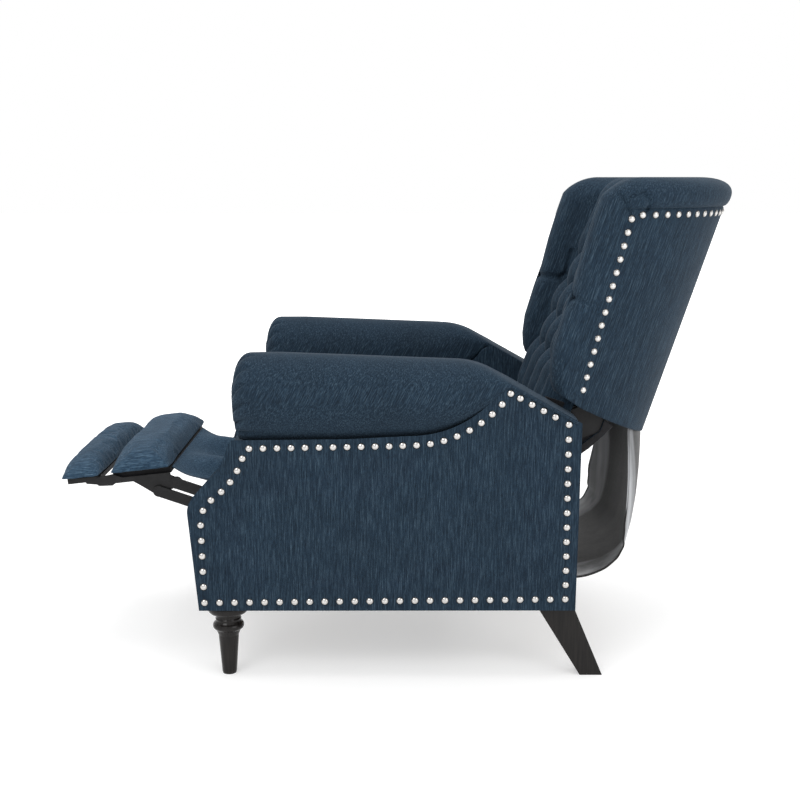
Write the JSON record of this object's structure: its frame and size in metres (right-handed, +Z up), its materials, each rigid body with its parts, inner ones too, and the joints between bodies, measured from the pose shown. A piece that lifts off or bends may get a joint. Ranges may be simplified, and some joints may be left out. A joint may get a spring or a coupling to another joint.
{
  "type": "recliner armchair",
  "caption": "Wingback push-back recliner with rolled arms, tufted barrel back, nail trim and a folding two-pad footrest.",
  "frame": {"origin": "centre of the chair's overall box, on the floor, drawn part reclined with the footrest out", "axes": "+Z up; -Y is the way the sitter faces; +X is the sitter's left"},
  "size_m": [0.71, 1.3159, 0.944],
  "materials": {
    "upholstery": "matte",
    "black_cloth": "matte",
    "nickel_nail": "polished",
    "leg_lacquer": "gloss",
    "frame_timber": "matte",
    "black_steel": "satin",
    "spring_wire": "satin"
  },
  "bodies": {
    "base": {"arm_frame_left": "frame_timber", "arm_frame_right": "frame_timber", "arm_outer_panel_left": "upholstery", "arm_outer_panel_right": "upholstery", "arm_inner_panel_left": "upholstery", "arm_inner_panel_right": "upholstery", "arm_facing_left": "upholstery", "arm_facing_right": "upholstery", "arm_roll_left": "upholstery", "arm_roll_right": "upholstery", "arm_nails_left": "nickel_nail", "arm_nails_right": "nickel_nail", "front_leg_left": "leg_lacquer", "front_leg_right": "leg_lacquer", "rear_leg_left": "leg_lacquer", "rear_leg_right": "leg_lacquer", "front_rail": "frame_timber", "rear_rail": "frame_timber", "base_plate_left": "black_steel", "base_plate_right": "black_steel", "base_pins": "black_steel", "rear_sling": "black_cloth"},
    "front_swing": {"front_swing_links": "black_steel"},
    "rear_swing": {"rear_swing_links": "black_steel"},
    "seat": {"seat_plate_left": "black_steel", "seat_plate_right": "black_steel", "seat_pins": "black_steel", "seat_side_rail_left": "frame_timber", "seat_side_rail_right": "frame_timber", "seat_front_rail": "frame_timber", "seat_rear_rail": "frame_timber", "seat_springs": "spring_wire", "seat_cushion": "upholstery", "footrest_flap": "upholstery"},
    "drive": {"drive_links": "black_steel", "torque_tube": "black_steel", "elbow_pins": "black_steel"},
    "lower_carry": {"lower_links": "black_steel"},
    "upper_carry": {"upper_links": "black_steel"},
    "footrest": {"footrest_brackets": "black_steel", "bracket_pins": "black_steel", "footrest_board": "black_cloth", "footrest_pad": "upholstery"},
    "flipper": {"flipper_brackets": "black_steel", "flipper_board": "black_cloth", "flipper_pad": "upholstery"},
    "back": {"back_post_left": "frame_timber", "back_post_right": "frame_timber", "back_rails": "frame_timber", "back_ribs": "frame_timber", "back_brackets": "black_steel", "back_cushion": "upholstery", "back_wing_left": "upholstery", "back_wing_right": "upholstery", "outside_back": "upholstery", "back_top_roll": "upholstery", "back_nails": "nickel_nail", "back_buttons": "upholstery", "back_gussets": "black_cloth"}
  },
  "joints": [
    {"name": "back_recline", "type": "hinge", "parent": "base", "child": "back", "pos_m": [0, 0.215, 0.435], "axis": [1, 0, 0], "range_deg": [-14, 10], "deforming": ["rear_sling"]},
    {"name": "front_swing", "type": "hinge", "parent": "base", "child": "front_swing", "pos_m": [0, -0.06, 0.335], "axis": [1, 0, 0], "range_deg": [-11.3, 8.1]},
    {"name": "seat_carry", "type": "hinge", "parent": "front_swing", "child": "seat", "pos_m": [0, -0.06, 0.255], "axis": [1, 0, 0], "range_deg": [-8.1, 11.3]},
    {"name": "rear_swing", "type": "hinge", "parent": "base", "child": "rear_swing", "pos_m": [0, 0.12, 0.335], "axis": [1, 0, 0], "range_deg": [-11.3, 8.1]},
    {"name": "footrest_fold", "type": "hinge", "parent": "seat", "child": "drive", "pos_m": [0, -0.19, 0.345], "axis": [1, 0, 0], "range_deg": [0, 84], "deforming": ["footrest_flap"]},
    {"name": "lower_link_turn", "type": "hinge", "parent": "drive", "child": "lower_carry", "pos_m": [0, -0.33095, 0.2937], "axis": [1, 0, 0], "range_deg": [-98, 0.5]},
    {"name": "upper_link_turn", "type": "hinge", "parent": "drive", "child": "upper_carry", "pos_m": [0, -0.29695, 0.3097], "axis": [1, 0, 0], "range_deg": [-98, 0.5]},
    {"name": "footrest_level", "type": "hinge", "parent": "lower_carry", "child": "footrest", "pos_m": [0, -0.46995, 0.34155], "axis": [1, 0, 0], "range_deg": [-0.5, 98]},
    {"name": "flipper_fold", "type": "hinge", "parent": "footrest", "child": "flipper", "pos_m": [0, -0.584, 0.36], "axis": [1, 0, 0], "range_deg": [-0.5, 175]}
  ],
  "couplings": [
    {"joint": "front_swing", "follows": "back_recline", "ratio": 0.8},
    {"joint": "seat_carry", "follows": "back_recline", "ratio": -0.8},
    {"joint": "rear_swing", "follows": "back_recline", "ratio": 0.8},
    {"joint": "lower_link_turn", "follows": "footrest_fold", "ratio": -1.1583},
    {"joint": "upper_link_turn", "follows": "footrest_fold", "ratio": -1.1583},
    {"joint": "footrest_level", "follows": "footrest_fold", "ratio": 1.1583},
    {"joint": "flipper_fold", "follows": "footrest_fold", "ratio": 2.0714}
  ]
}
